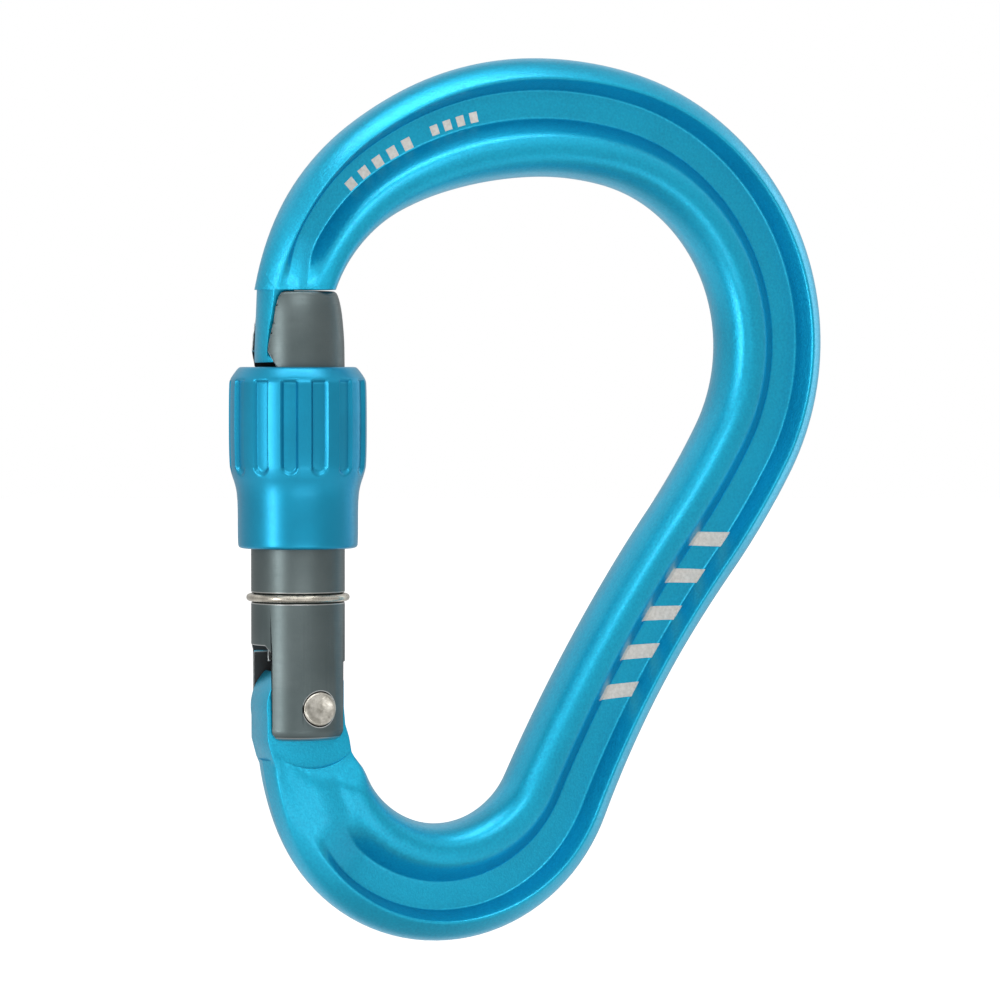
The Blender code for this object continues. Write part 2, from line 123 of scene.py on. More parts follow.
# The inner edge draws in over the last stretch, to meet the tang.
END_NARROWING = 4.5
END_NARROWED = 2.2

# Gate tube.
TUBE_X = -30.7
TUBE_R = 5.65
TUBE_TOP = 25.15
TUBE_BOTTOM = -28.75
# Height of the band at the tube's foot that is painted with the edge highlight.
FOOT_HIGHLIGHT = 0.45
BORE_R = 2.5
BORE_TOP = -1.0
THREAD_LOW = 1.0
THREAD_PITCH = 1.5
THREAD_TURNS = 5
THREAD_DEPTH = 0.3
THREAD_ROWS = 14
THREAD_MARGIN = 0.6

# Hinge.
PIVOT = (-29.9, -24.85)
PIN_R = 1.4
RIVET_HEAD_R = 2.05
RIVET_HEAD_Y = 4.3
RIVET_TOP_Y = 5.6
RIVET_GAP = 0.08
TANG_HALF = 3.0
TANG_R = 5.85
TANG_CAM_R = 4.2
TANG_CAM_OFFSET = 1.3
TANG_INNER = 4.0
TANG_HORN_X = -3.9
TANG_HOLE_R = 1.65
TANG_LOW = math.radians(190.0)
TANG_CAM_START = math.radians(152.0)
TANG_STEPS = 32
EAR_SLOT_HALF = 3.3
EAR_SLOT_TOP = 5.4
EAR_MOUTH_TOP = 7.5
EAR_MOUTH_CHAMFER = 0.9
EAR_RECESS_R = 7.3

# Keylock nose and its pocket, as half-outlines of (half-width, height).
SHOULDER_Z = TUBE_TOP + 0.15
NOSE_DEEP_X = -32.2
NOSE_R = 5.2
NOSE_ROOT_R = 4.8
NOSE_TAPER_Z = 18.0
NOSE_HALF = (
    (1.6, 27.2),
    (2.9, 25.5),
    (2.7, 22.85),
    (2.33, 20.35),
    (2.17, 17.95),
    (2.2, 17.35),
    (3.0, 17.05),
    (3.0, 16.5),
)
NOSE_FLOOR_RISE = 0.3
POCKET_DEEP_X = -31.6
POCKET_HALF = (
    (3.25, 27.0),
    (3.25, 25.2),
    (3.3, 21.5),
    (2.8, 18.1),
    (2.77, 17.95),
    (3.5, 16.7),
    (4.2, 15.2),
)

# Locking sleeve.
SLEEVE_TOP = 16.05
SLEEVE_BOTTOM = -5.75
SLEEVE_R = 8.3
SLEEVE_SKIRT_R = 7.25
SLEEVE_BORE_R = 5.95
SLEEVE_RELIEF_R = 6.5
FLUTES = 14
FLUTE_STEPS = 24
FLUTE_DEPTH = 0.45
FLUTE_TOP = 14.65
FLUTE_BOTTOM = 2.95
FLUTE_START = math.radians(-117.0)

# Stop ring and plunger.
RING_Z = -11.65
RING_WIRE_R = 0.45
RING_R = 5.78
RING_GROOVE_R = 0.62
RING_SPLIT = math.radians(14.0)
PLUNGER_R = 2.2
PLUNGER_BOTTOM = PIVOT[1] + TANG_CAM_R + 0.06
PLUNGER_SHOULDER = PLUNGER_BOTTOM + 3.6
PLUNGER_STEM_R = 1.15
PLUNGER_TOP = PLUNGER_SHOULDER + 3.0

EDGE_ROUND = 0.13
NOSE_ROUND = 0.16
TANG_ROUND = 0.2
WELD = 0.002
# Cutting tools reach this far past the piece on each side.
CUT_REACH = 8.0
PIN_REACH = 9.0
SIDES = 128
FINE_SIDES = 64

# Studio: the camera's place is in metres.
FLOOR_Z = -250.0
FLOOR_R = 9000.0
FLOOR_SIDES = 96
CAMERA_AZIMUTH = math.radians(-22.4)
CAMERA_ELEVATION = math.radians(1.6)
CAMERA_REACH = 0.583
CAMERA_AIM = (-4.38 * MM, 0.0, -0.25 * MM)
CAMERA_LENS = 171.3
CAMERA_SENSOR = 36.0

# ---------------------------------------------------------------- mesh helpers


def ease(t):
    t = min(max(t, 0.0), 1.0)
    return t * t * (3.0 - 2.0 * t)


def new_object(name, points, faces, sharp=38.0):
    """An object from points in millimetres, in the row frame."""
    mesh = bpy.data.meshes.new(name)
    mesh.from_pydata([(x * MM, y * MM, z * MM) for x, y, z in points], [], faces)
    mesh.validate()
    mesh.shade_smooth()
    mesh.set_sharp_from_angle(angle=math.radians(sharp))
    obj = bpy.data.objects.new(name, mesh)
    bpy.context.collection.objects.link(obj)
    return obj


def coat(obj, material):
    obj.data.materials.append(material)
    return obj


def apply_modifiers(obj, sharp=38.0):
    """Turns an object's modifiers into its own mesh."""
    bpy.context.view_layer.update()
    evaluated = obj.evaluated_get(bpy.context.evaluated_depsgraph_get())
    mesh = bpy.data.meshes.new_from_object(evaluated)
    old = obj.data
    obj.modifiers.clear()
    obj.data = mesh
    bpy.data.meshes.remove(old)
    mesh.name = obj.name
    mesh.shade_smooth()
    mesh.set_sharp_from_angle(angle=math.radians(sharp))


def weld(obj):
    """Closes the hair-thin slivers that a Boolean step can leave behind."""
    work = bmesh.new()
    work.from_mesh(obj.data)
    bmesh.ops.remove_doubles(work, verts=work.verts, dist=WELD * MM)
    bmesh.ops.dissolve_degenerate(work, dist=WELD * MM, edges=work.edges)
    work.to_mesh(obj.data)
    work.free()


def combine(target, tool, operation):
    """Cuts, joins or intersects target with tool, and removes the tool."""
    step = target.modifiers.new("step", "BOOLEAN")
    step.operation = operation
    step.object = tool
    step.solver = "EXACT"
    if tool.data.materials:
        step.material_mode = "TRANSFER"
    apply_modifiers(target)
    weld(target)
    bpy.data.objects.remove(tool)


def round_edges(obj, width, segments=2, angle=40.0, slot=-1):
    """A small radius along the sharp edges, in the finish of one of the piece's slots."""
    step = obj.modifiers.new("round", "BEVEL")
    step.width = width * MM
    step.segments = segments
    step.limit_method = "ANGLE"
    step.angle_limit = math.radians(angle)
    step.material = slot
    step.use_clamp_overlap = slot < 0
    apply_modifiers(obj)


def loft(rings, closed_path=False):
    """Points and faces of a skin over equal rings of points, with its open ends capped."""
    count = len(rings[0])
    points = [p for ring in rings for p in ring]
    faces = []
    for i in range(len(rings) if closed_path else len(rings) - 1):
        low = i * count
        high = (i + 1) % len(rings) * count
        for j in range(count):
            k = (j + 1) % count
            faces.append((low + j, low + k, high + k, high + j))
    if not closed_path:
        faces.append(tuple(reversed(range(count))))
        faces.append(tuple(range(len(points) - count, len(points))))
    return points, faces


def prism(outline, axis, low, high):
    """A flat outline, anticlockwise from the axis's positive end, pushed out along X, Y or Z."""
    def point(a, b, along):
        return {"X": (along, a, b), "Y": (b, along, a), "Z": (a, b, along)}[axis]

    return loft([[point(a, b, along) for a, b in outline] for along in (low, high)])


def circle(radius, sides, middle=(0.0, 0.0)):
    angles = [2.0 * math.pi * i / sides for i in range(sides)]
    return [(middle[0] + radius * math.cos(a), middle[1] + radius * math.sin(a)) for a in angles]


def turned(radii, sides, x):
    """Rings about an upright axis from (height, radius) pairs, bottom to top."""
    return [[(px, py, z) for px, py in circle(r, sides, (x, 0.0))] for z, r in radii]


def turned_on_y(radii, sides, x, z):
    """Rings about an axis along Y from (y, radius) pairs, lowest y first."""
    return [[(px, y, pz) for pz, px in circle(r, sides, (z, x))] for y, r in radii]


def cut_corners(points, rounds, closed):
    """Rounds a polyline by cutting its corners, in any number of dimensions."""
    points = [np.array(p, dtype=float) for p in points]
    for _ in range(rounds):
        made = [] if closed else [points[0]]
        for i in range(len(points) if closed else len(points) - 1):
            a, b = points[i], points[(i + 1) % len(points)]
            made += [0.75 * a + 0.25 * b, 0.25 * a + 0.75 * b]
        points = made if closed else made + [points[-1]]
    return points


def both_sides(half):
    """A closed outline from its half with y > 0, top to bottom."""
    return [(-y, z) for y, z in half] + [(y, z) for y, z in reversed(half)]


# ---------------------------------------------------------------- frame


def centre_at(distance):
    """The centreline's point and heading at a distance from the nose."""
    x, z = NOSE_START
    heading = NOSE_HEADING
    if distance < 0.0:
        return x + distance * math.cos(heading), z + distance * math.sin(heading), heading
    left = distance
    for radius, length in ARCS:
        part = min(left, length)
        turn = part / radius
        x += radius * (math.sin(heading) - math.sin(heading - turn))
        z += radius * (math.cos(heading - turn) - math.cos(heading))
        heading -= turn
        left -= part
        if left <= 0.0:
            break
    return x, z, heading


def width_at(distance):
    """The frame's width, smoothed along its length."""
    knots = np.linspace(0.0, LENGTH, len(WIDTHS))
    near = distance + np.linspace(-WIDTH_BLUR, WIDTH_BLUR, 15)
    return float(np.interp(near, knots, WIDTHS).mean())


def ear_limit(z, left):
    """The most half-depth at a height, so that the gate's ears pass outside the frame's end."""
    if left > EAR_RAMP_REACH:
        return math.inf
    return TANG_HALF - EAR_CLEARANCE + EAR_RAMP_RISE * ease((EAR_RAMP_TOP - z) / EAR_RAMP_HEIGHT)


def edge_depth(share, depth, distance):
    """A half-depth with the outer edge thinned near the nose and flattened near the hinge."""
    outer = 1.0 - ease((share - 0.1) / 0.35)
    depth *= 1.0 - NOSE_LEAN_SHARE * outer * (1.0 - ease(distance / NOSE_LEAN))
    band = HINGE_BAND_HALF * ease(share / HINGE_BAND_ROUND)
    return depth + (band - depth) * outer * ease((distance - LENGTH + HINGE_BAND) / HINGE_BAND)


def control_section(distance):
    """The section's control points at one distance, as (share of the width, half-depth)."""
    web = ease((distance - WEB_START) / WEB_FADE)
    web *= ease((LENGTH - WEB_END - distance) / WEB_FADE)
    rows = [(share, filled + (sunk - filled) * web) for share, sunk, filled in SECTION]
    return [(share, edge_depth(share, depth, distance)) for share, depth in rows]


def frame_ring(distance):
    x, z, heading = centre_at(distance)
    width = width_at(distance)
    narrowed = END_NARROWED * ease((distance - LENGTH + END_NARROWING) / END_NARROWING)
    rows = control_section(distance)
    outline = [(share, -depth) for share, depth in rows]
    outline += [(share, depth) for share, depth in reversed(rows)]
    ring = []
    for share, y in cut_corners(outline, 2, closed=True):
        across = (0.5 - share) * width + max(share - 0.5, 0.0) * narrowed
        here = (x - math.sin(heading) * across, z + math.cos(heading) * across)
        limit = ear_limit(here[1], LENGTH - distance)
        ring.append((here[0], min(max(y, -limit), limit), here[1]))
    return ring


def nose_shape():
    """The T-headed nose: its outline along X, rounded by the tube's own radius."""
    points, faces = prism(both_sides(NOSE_HALF), "X", TUBE_X - NOSE_R - 1.0, NOSE_DEEP_X)
    lowest = NOSE_HALF[-1][1]
    rise = [NOSE_FLOOR_RISE * (x > TUBE_X - NOSE_R) * (z <= lowest) for x, _, z in points]
    points = [(x, y, z + up) for (x, y, z), up in zip(points, rise)]
    nose = new_object("nose_tool", points, faces)
    highest = NOSE_HALF[0][1]
    radii = ((lowest - 1.0, NOSE_R), (NOSE_TAPER_Z, NOSE_R), (highest + 1.0, NOSE_ROOT_R))
    combine(nose, new_object("nose_round", *loft(turned(radii, SIDES, TUBE_X))), "INTERSECT")
    round_edges(nose, NOSE_ROUND, segments=3)
    return nose


def tang_outline():
    """The tang as (z, x): a round outer horn, a notch, then the cam on which the plunger rides."""
    horn = math.acos(TANG_HORN_X / TANG_R)
    edge = [TANG_LOW + (horn - TANG_LOW) * i / TANG_STEPS for i in range(TANG_STEPS + 1)]
    outer = [(TANG_R * math.sin(a), TANG_R * math.cos(a)) for a in edge]
    start, end = TANG_CAM_START, math.acos((TANG_INNER - TANG_CAM_OFFSET) / TANG_CAM_R)
    sweep = [start + (end - start) * i / TANG_STEPS for i in range(TANG_STEPS + 1)]
    cam = [(TANG_CAM_R * math.sin(a), TANG_CAM_OFFSET + TANG_CAM_R * math.cos(a)) for a in sweep]
    inner = [(0.0, TANG_INNER), (-2.1, 4.2), (-3.7, 4.7), (-6.6, 5.2)]
    root = [(-8.0, -4.3), (-6.0, -5.15), (-3.8, -5.75)]
    return [(z + PIVOT[1], x + PIVOT[0]) for z, x in outer + cam + inner + root]


def pair_on_y(make):
    """One tool from the same closed shape on the front and on the back."""
    points, faces = [], []
    for side in (-1, 1):
        ends = sorted((side * TANG_HALF, side * PIN_REACH))
        more, rims = make(ends)
        faces += [tuple(i + len(points) for i in face) for face in rims]
        points += more
    return new_object("pair_tool", points, faces)


def make_frame():
    stops = np.arange(-LEAD_IN, LENGTH, STATION_STEP)
    rings = [frame_ring(s) for s in list(stops) + [LENGTH]]
    body = new_object("anodised_frame", *loft(rings))
    left, right = TUBE_X - CUT_REACH, TUBE_X + CUT_REACH
    below = [(left, -CUT_REACH), (right, -CUT_REACH), (right, CUT_REACH), (left, CUT_REACH)]
    trim = new_object("trim_tool", *prism(below, "Z", SHOULDER_Z - 9.0, SHOULDER_Z))
    combine(body, trim, "DIFFERENCE")
    combine(body, nose_shape(), "UNION")
    tang = new_object("tang_tool", *prism(tang_outline(), "Y", -TANG_HALF, TANG_HALF))
    round_edges(tang, TANG_ROUND, segments=3)
    combine(body, tang, "UNION")

    def recess(ends):
        return loft(turned_on_y([(y, EAR_RECESS_R) for y in ends], SIDES, *PIVOT))

    combine(body, pair_on_y(recess), "DIFFERENCE")
    ends = [(-PIN_REACH, TANG_HOLE_R), (PIN_REACH, TANG_HOLE_R)]
    hole = loft(turned_on_y(ends, FINE_SIDES, *PIVOT))
    combine(body, new_object("hole_tool", *hole), "DIFFERENCE")
    return body


# ---------------------------------------------------------------- gate


def thread_ring(row, sides):
    """One ring of the thread: the groove's depth follows the helix round the tube."""
    height = THREAD_LOW + row * THREAD_PITCH / THREAD_ROWS
    ring = []
    for i in range(sides):
        phase = (row / THREAD_ROWS - i / sides) % 1.0
        radius = TUBE_R - THREAD_DEPTH * (0.5 - 0.5 * math.cos(2.0 * math.pi * phase))
        angle = 2.0 * math.pi * i / sides
        ring.append((TUBE_X + radius * math.cos(angle), radius * math.sin(angle), height))
    return ring


def tube_rings(sides):
    """The tube's turned outside, with the ring's groove, the thread and a rounded top."""
    foot = [(TUBE_BOTTOM, TUBE_R - 2.0), (TUBE_BOTTOM, TUBE_R - 1.1)]
    foot += [(TUBE_BOTTOM + 0.1, TUBE_R - 0.7), (TUBE_BOTTOM + 0.4, TUBE_R - 0.25)]
    foot += [(TUBE_BOTTOM + 1.1, TUBE_R), (TUBE_BOTTOM + 1.6, TUBE_R)]
    rows = [tuple(p) for p in cut_corners(foot, 3, closed=False)]
    groove = []
    for angle in np.radians(np.linspace(-86.0, 86.0, 15)):
        reach = RING_R - RING_GROOVE_R * math.cos(angle)
        groove.append((RING_Z + RING_GROOVE_R * math.sin(angle), min(reach, TUBE_R)))
    rows += groove
    rings = turned(rows, sides, TUBE_X)
    rings += turned([(THREAD_LOW - THREAD_MARGIN, TUBE_R)], sides, TUBE_X)
    for row in range(THREAD_TURNS * THREAD_ROWS + 1):
        rings.append(thread_ring(row, sides))
    top = THREAD_LOW + THREAD_TURNS * THREAD_PITCH + THREAD_MARGIN
    crown = [(top, TUBE_R), (TUBE_TOP - 7.0, TUBE_R), (TUBE_TOP - 4.8, TUBE_R - 0.12)]
    crown += [(TUBE_TOP - 2.3, TUBE_R - 0.36), (TUBE_TOP - 0.75, TUBE_R - 0.72)]
    crown += [(TUBE_TOP - 0.08, TUBE_R - 1.05), (TUBE_TOP, TUBE_R - 1.6), (TUBE_TOP, TUBE_R - 2.4)]
    return rings + turned([tuple(p) for p in cut_corners(crown, 3, closed=False)], sides, TUBE_X)


def make_tube(outside, inside_shade, edge):
    """The gate's tube: turned outside, painted darker in its cuts as shade, and painted bright along
    its edges and foot as a highlight.
    """
    tube = coat(new_object("turned_gate_tube", *loft(tube_rings(SIDES))), outside)

    # Cut faces take the near-black finish: painted shade inside the pocket, slot, mouth, bore and
    # rivet seat.
    def cut(shape):
        combine(tube, coat(new_object("tube_tool", *shape), inside_shade), "DIFFERENCE")

    left, right = TUBE_X - CUT_REACH, TUBE_X + CUT_REACH
    cut(prism(both_sides(POCKET_HALF), "X", left, POCKET_DEEP_X))
    low, high = TUBE_BOTTOM - 2.0, PIVOT[1] + EAR_SLOT_TOP
    outline = [(low, left), (high, left), (high, right), (low, right)]
    cut(prism(outline, "Y", -EAR_SLOT_HALF, EAR_SLOT_HALF))
    high = PIVOT[1] + EAR_MOUTH_TOP
    half = [(EAR_SLOT_HALF - EAR_MOUTH_CHAMFER, high), (EAR_SLOT_HALF, high - EAR_MOUTH_CHAMFER)]
    half += [(EAR_SLOT_HALF, PIVOT[1])]
    cut(prism(both_sides(half), "X", left, PIVOT[0] + TANG_HORN_X + 0.5))
    cut(loft(turned(((PIVOT[1], BORE_R), (BORE_TOP, BORE_R)), FINE_SIDES, TUBE_X)))
    head, pin, floor = RIVET_HEAD_R + RIVET_GAP, PIN_R + RIVET_GAP, RIVET_HEAD_Y - RIVET_GAP
    steps = [(-CUT_REACH, head), (-floor, head), (-floor, pin)]
    steps += [(floor, pin), (floor, head), (CUT_REACH, head)]
    cut(loft(turned_on_y(steps, FINE_SIDES, *PIVOT)))
    # The edge rounds take the bright grey finish: a painted highlight where light catches the edges.
    coat(tube, edge)
    bright = len(tube.data.materials) - 1
    round_edges(tube, EDGE_ROUND, slot=bright)
    # The foot's lowest band takes the same bright finish: a painted highlight.
    for face in tube.data.polygons:
        if face.center.z < (TUBE_BOTTOM + FOOT_HIGHLIGHT) * MM and face.material_index == 0:
            face.material_index = bright
    return tube


def make_rivet():
    """A pin with a low head at each end, dished and rounded by the peening."""
    rim = [(RIVET_TOP_Y - 0.22, 0.0), (RIVET_TOP_Y - 0.2, 0.7)]
    rim += [(RIVET_TOP_Y - 0.02, RIVET_HEAD_R - 0.5), (RIVET_TOP_Y, RIVET_HEAD_R - 0.3)]
    rim += [(RIVET_TOP_Y - 0.1, RIVET_HEAD_R - 0.02)]
    rim += [(RIVET_TOP_Y - 0.4, RIVET_HEAD_R)]
    half = [tuple(p) for p in cut_corners(rim, 2, closed=False)][1:]
    half += [(RIVET_HEAD_Y, RIVET_HEAD_R), (RIVET_HEAD_Y, PIN_R)]
    steps = [(-y, r) for y, r in half] + [(y, r) for y, r in reversed(half)]
    return new_object("peened_rivet", *loft(turned_on_y(steps, FINE_SIDES, *PIVOT)), sharp=50.0)


def wound_wire(coil_r, wire_r, start, end, height, steps, sides):
    """Rings of a wire wound about the tube's axis from one angle to another."""
    rings = []
    for i in range(steps + 1):
        share = i / steps
        angle = start + (end - start) * share
        ring = []
        for j in range(sides):
            around = -2.0 * math.pi * j / sides
            radius = coil_r + wire_r * math.cos(around)
            place = (TUBE_X + radius * math.cos(angle), radius * math.sin(angle))
            ring.append((*place, height(share) + wire_r * math.sin(around)))
        rings.append(ring)
    return rings


def make_stop_ring():
    """A split wire ring; its two ends are at the back."""
    start = math.radians(90.0) + RING_SPLIT / 2.0
    end = math.radians(450.0) - RING_SPLIT / 2.0
    rings = wound_wire(RING_R, RING_WIRE_R, start, end, lambda share: RING_Z, 180, 20)
    return new_object("wire_stop_ring", *loft(rings), sharp=50.0)


def make_plunger():
    rows = [(PLUNGER_BOTTOM, PLUNGER_R - 0.6), (PLUNGER_BOTTOM + 0.1, PLUNGER_R - 0.15)]
    rows += [(PLUNGER_BOTTOM + 0.5, PLUNGER_R), (PLUNGER_SHOULDER - 0.1, PLUNGER_R)]
    rows += [(PLUNGER_SHOULDER, PLUNGER_R - 0.1), (PLUNGER_SHOULDER, PLUNGER_STEM_R)]
    rows += [(PLUNGER_TOP - 0.3, PLUNGER_STEM_R), (PLUNGER_TOP, PLUNGER_STEM_R - 0.3)]
    return new_object("turned_plunger", *loft(turned(rows, FINE_SIDES, TUBE_X)))


# ---------------------------------------------------------------- sleeve


def flute_depth(turn, height):
    """How deep the grip's flutes are at one place; they run out round at their lower end."""
    across = abs((turn * FLUTES + 0.5) % 1.0 - 0.5) * 2.0
    side = 1.0 - ease((across - 0.40) / 0.18)
    top = ease((FLUTE_TOP - height) / 0.55)
    bottom = ease((height - FLUTE_BOTTOM - 2.2 * across * across) / 0.8)
    return FLUTE_DEPTH * side * top * bottom


def sleeve_rings():
    """Up the fluted outside, over the top and down the bore, as a closed band."""
    outside = [(SLEEVE_BOTTOM, SLEEVE_SKIRT_R - 0.6), (SLEEVE_BOTTOM + 0.1, SLEEVE_SKIRT_R - 0.15)]
    outside += [(SLEEVE_BOTTOM + 0.6, SLEEVE_SKIRT_R), (0.2, SLEEVE_SKIRT_R)]
    outside += [(1.8, SLEEVE_SKIRT_R + 0.25), (3.2, SLEEVE_R - 0.3), (4.6, SLEEVE_R)]
    outside += [(13.9, SLEEVE_R), (14.6, SLEEVE_R - 0.18), (15.3, SLEEVE_R - 0.65)]
    outside += [(SLEEVE_TOP - 0.05, SLEEVE_R - 1.2), (SLEEVE_TOP, SLEEVE_R - 1.6)]
    shape = cut_corners(outside, 3, closed=False)
    fine = [shape[0]]
    for a, b in zip(shape, shape[1:]):
        pieces = max(1, round((b[0] - a[0]) / 0.18)) if a[0] > 1.0 else 1
        fine += [a + (b - a) * i / pieces for i in range(1, pieces + 1)]
    bore = [(SLEEVE_TOP, SLEEVE_BORE_R + 0.3), (SLEEVE_TOP - 0.3, SLEEVE_BORE_R)]
    bore += [(12.0, SLEEVE_BORE_R), (11.5, SLEEVE_RELIEF_R), (-2.0, SLEEVE_RELIEF_R)]
    bore += [(-2.5, SLEEVE_BORE_R), (SLEEVE_BOTTOM + 0.2, SLEEVE_BORE_R)]
    bore += [(SLEEVE_BOTTOM, SLEEVE_BORE_R + 0.2)]
    sides = FLUTES * FLUTE_STEPS
    angles = [FLUTE_START + 2.0 * math.pi * i / sides for i in range(sides)]
    rings = []
    for index, (height, radius) in enumerate(fine + bore):
        fluted = index < len(fine)
        ring = []
        for i, angle in enumerate(angles):
            reach = radius - (flute_depth(i / sides, height) if fluted else 0.0)
            ring.append((TUBE_X + reach * math.cos(angle), reach * math.sin(angle), height))
        rings.append(ring)
    return rings


def make_sleeve():
    return new_object("fluted_sleeve", *loft(sleeve_rings(), closed_path=True))


# ---------------------------------------------------------------- marks


def front_profile(distance):
    """The rounded front of the section: rising shares of the width, and the half-depth at each."""
    rows = control_section(distance)
    outline = [(share, -depth) for share, depth in rows]
    outline += [(share, depth) for share, depth in reversed(rows)]
    front = sorted((share, -y) for share, y in cut_corners(outline, 2, closed=True) if y < 0.0)
    return [share for share, _ in front], [depth for _, depth in front]


def surface_at(distance, share):
    """A point of the front face of the frame, and the direction out of it."""
    def place(s, t):
        x, z, heading = centre_at(s)
        across = (0.5 - t) * width_at(s)
        depth = np.interp(t, *front_profile(s))
        return np.array((x - math.sin(heading) * across, -depth, z + math.cos(heading) * across))

    here = place(distance, share)
    along = place(distance + 0.05, share) - here
    across = place(distance, share + 0.004) - place(distance, share - 0.004)
    out = np.cross(along, across)
    out /= np.linalg.norm(out)
    return here, out if out[1] < 0.0 else -out


def make_marks(name, bars, proud=0.02, sunk=0.06, steps=16):
    """Thin plates on the frame's front, one for each (start, end, low share, high share, slant)."""
    points, faces = [], []
    for start, end, low, high, slant in bars:
        top, bottom = [], []
        for i in range(steps + 1):
            share = low + (high - low) * i / steps
            shift = slant * (i / steps - 0.5)
            for distance in (start + shift, end + shift):
                here, out = surface_at(distance, share)
                top.append(here + proud * out)
                bottom.append(here - sunk * out)
        base = len(points)
        points += [tuple(p) for p in top + bottom]
        count = len(top)
        rim = list(range(0, count, 2)) + list(range(count - 1, 0, -2))
        for i in range(steps):
            a = base + 2 * i
            faces.append((a, a + 1, a + 3, a + 2))
            faces.append((a + count, a + count + 2, a + count + 3, a + count + 1))
        for j, k in zip(rim, rim[1:] + rim[:1]):
            faces.append((base + j, base + k, base + k + count, base + j + count))
    return new_object(name, points, faces, sharp=30.0)


# ---------------------------------------------------------------- materials


class Nodes:
    """Short calls for building one material."""

    def __init__(self, name):
        self.material = bpy.data.materials.new(name)
        self.material.use_nodes = True
        self.tree = self.material.node_tree
        self.shader = self.tree.nodes["Principled BSDF"]
        self.place = self.add("ShaderNodeTexCoord").outputs["Object"]

    def add(self, kind, **settings):
        node = self.tree.nodes.new(kind)
        for key, value in settings.items():
            setattr(node, key, value)
        return node

    def link(self, output, socket):
        self.tree.links.new(output, socket)

    def noise(self, size, detail=2.0, stretch=(1.0, 1.0, 1.0)):
        """Noise with features of a size in millimetres, 0 to 1."""
        mapping = self.add("ShaderNodeMapping")
        mapping.inputs["Scale"].default_value = stretch
        self.link(self.place, mapping.inputs["Vector"])
        node = self.add("ShaderNodeTexNoise")
        node.inputs["Scale"].default_value = 1.0 / (size * MM)
        node.inputs["Detail"].default_value = detail
        self.link(mapping.outputs["Vector"], node.inputs["Vector"])
        return node.outputs["Fac"]

    def spread(self, value, low, high):
        """A 0 to 1 value taken to another range."""
        node = self.add("ShaderNodeMapRange")
        node.inputs["From Min"].default_value = 0.3
        node.inputs["From Max"].default_value = 0.7
        node.inputs["To Min"].default_value = low
        node.inputs["To Max"].default_value = high
        self.link(value, node.inputs["Value"])
        return node.outputs["Result"]

    def mix(self, factor, first, second):
        """Colour from first to second."""
        node = self.add("ShaderNodeMix", data_type="RGBA")
        self.link(factor, node.inputs[0])
        for socket, colour in ((node.inputs[6], first), (node.inputs[7], second)):
            if isinstance(colour, tuple):
                socket.default_value = (*colour, 1.0)
            else:
                self.link(colour, socket)
        return node.outputs[2]

    def bump(self, value, strength, depth, normal=None):
        """Bump of a depth in millimetres."""
        node = self.add("ShaderNodeBump")
        node.inputs["Strength"].default_value = strength
        node.inputs["Distance"].default_value = depth * MM
        self.link(value, node.inputs["Height"])
        if normal is not None:
            self.link(normal, node.inputs["Normal"])
        return node.outputs["Normal"]


def blasted_blue(name, deep, bright, sparkle, rough, grain):
    """Blasted, anodised aluminium: coloured metal with a fine, sparkling grain, under a film."""
    make = Nodes(name)
    patches = make.spread(make.noise(9.0, 3.0), 0.0, 1.0)
    specks = make.spread(make.noise(0.3, 2.0), 0.0, 0.5)
    colour = make.mix(specks, make.mix(patches, deep, bright), sparkle)
    make.link(colour, make.shader.inputs["Base Color"])
    make.shader.inputs["Metallic"].default_value = 0.85
    roughness = make.spread(make.noise(0.5, 3.0), rough - 0.05, rough + 0.06)
    make.link(roughness, make.shader.inputs["Roughness"])
    fine = make.bump(make.noise(0.22, 3.0), grain, 0.035)
    coarse = make.bump(make.noise(1.4, 2.0), 0.12, 0.03, fine)
    make.link(coarse, make.shader.inputs["Normal"])
    make.shader.inputs["Coat Weight"].default_value = 0.35
    make.shader.inputs["Coat Roughness"].default_value = 0.28
    return make.material


def turned_metal(name, deep, bright, rough, lines, metallic=1.0, coat_weight=0.0):
    """Turned metal: fine marks round the upright axis, with a light grain."""
    make = Nodes(name)
    patches = make.spread(make.noise(6.0, 3.0), 0.0, 1.0)
    colour = make.mix(patches, deep, bright)
    make.link(colour, make.shader.inputs["Base Color"])
    make.shader.inputs["Metallic"].default_value = metallic
    make.shader.inputs["Coat Weight"].default_value = coat_weight
    make.shader.inputs["Coat Roughness"].default_value = 0.30
    rings = make.noise(2.0, 2.0, (1.0, 1.0, 24.0))
    make.link(make.spread(rings, rough - 0.04, rough + 0.05), make.shader.inputs["Roughness"])
    marks = make.bump(rings, lines, 0.012)
    grain = make.bump(make.noise(0.25, 3.0), lines, 0.02, marks)
    make.link(grain, make.shader.inputs["Normal"])
    return make.material


def hammered_steel(name, deep, bright, rough):
    """Peened steel: small dents and tarnish in the low spots."""
    make = Nodes(name)
    dents = make.noise(0.75, 2.0)
    colour = make.mix(make.spread(dents, 0.0, 1.0), deep, bright)
    make.link(colour, make.shader.inputs["Base Color"])
    make.shader.inputs["Metallic"].default_value = 1.0
    roughness = make.spread(make.noise(0.4, 3.0), rough - 0.06, rough + 0.1)
    make.link(roughness, make.shader.inputs["Roughness"])
    make.link(make.bump(dents, 0.5, 0.10), make.shader.inputs["Normal"])
    return make.material


def drawn_wire(name, deep, bright, rough):
    """Drawn steel wire: smooth, with faint drawing marks and stains."""
    make = Nodes(name)
    colour = make.mix(make.spread(make.noise(1.6, 4.0), 0.0, 1.0), deep, bright)
    make.link(colour, make.shader.inputs["Base Color"])
    make.shader.inputs["Metallic"].default_value = 1.0
    roughness = make.spread(make.noise(0.3, 3.0), rough - 0.05, rough + 0.08)
    make.link(roughness, make.shader.inputs["Roughness"])
    make.link(make.bump(make.noise(0.18, 3.0), 0.25, 0.015), make.shader.inputs["Normal"])
    return make.material


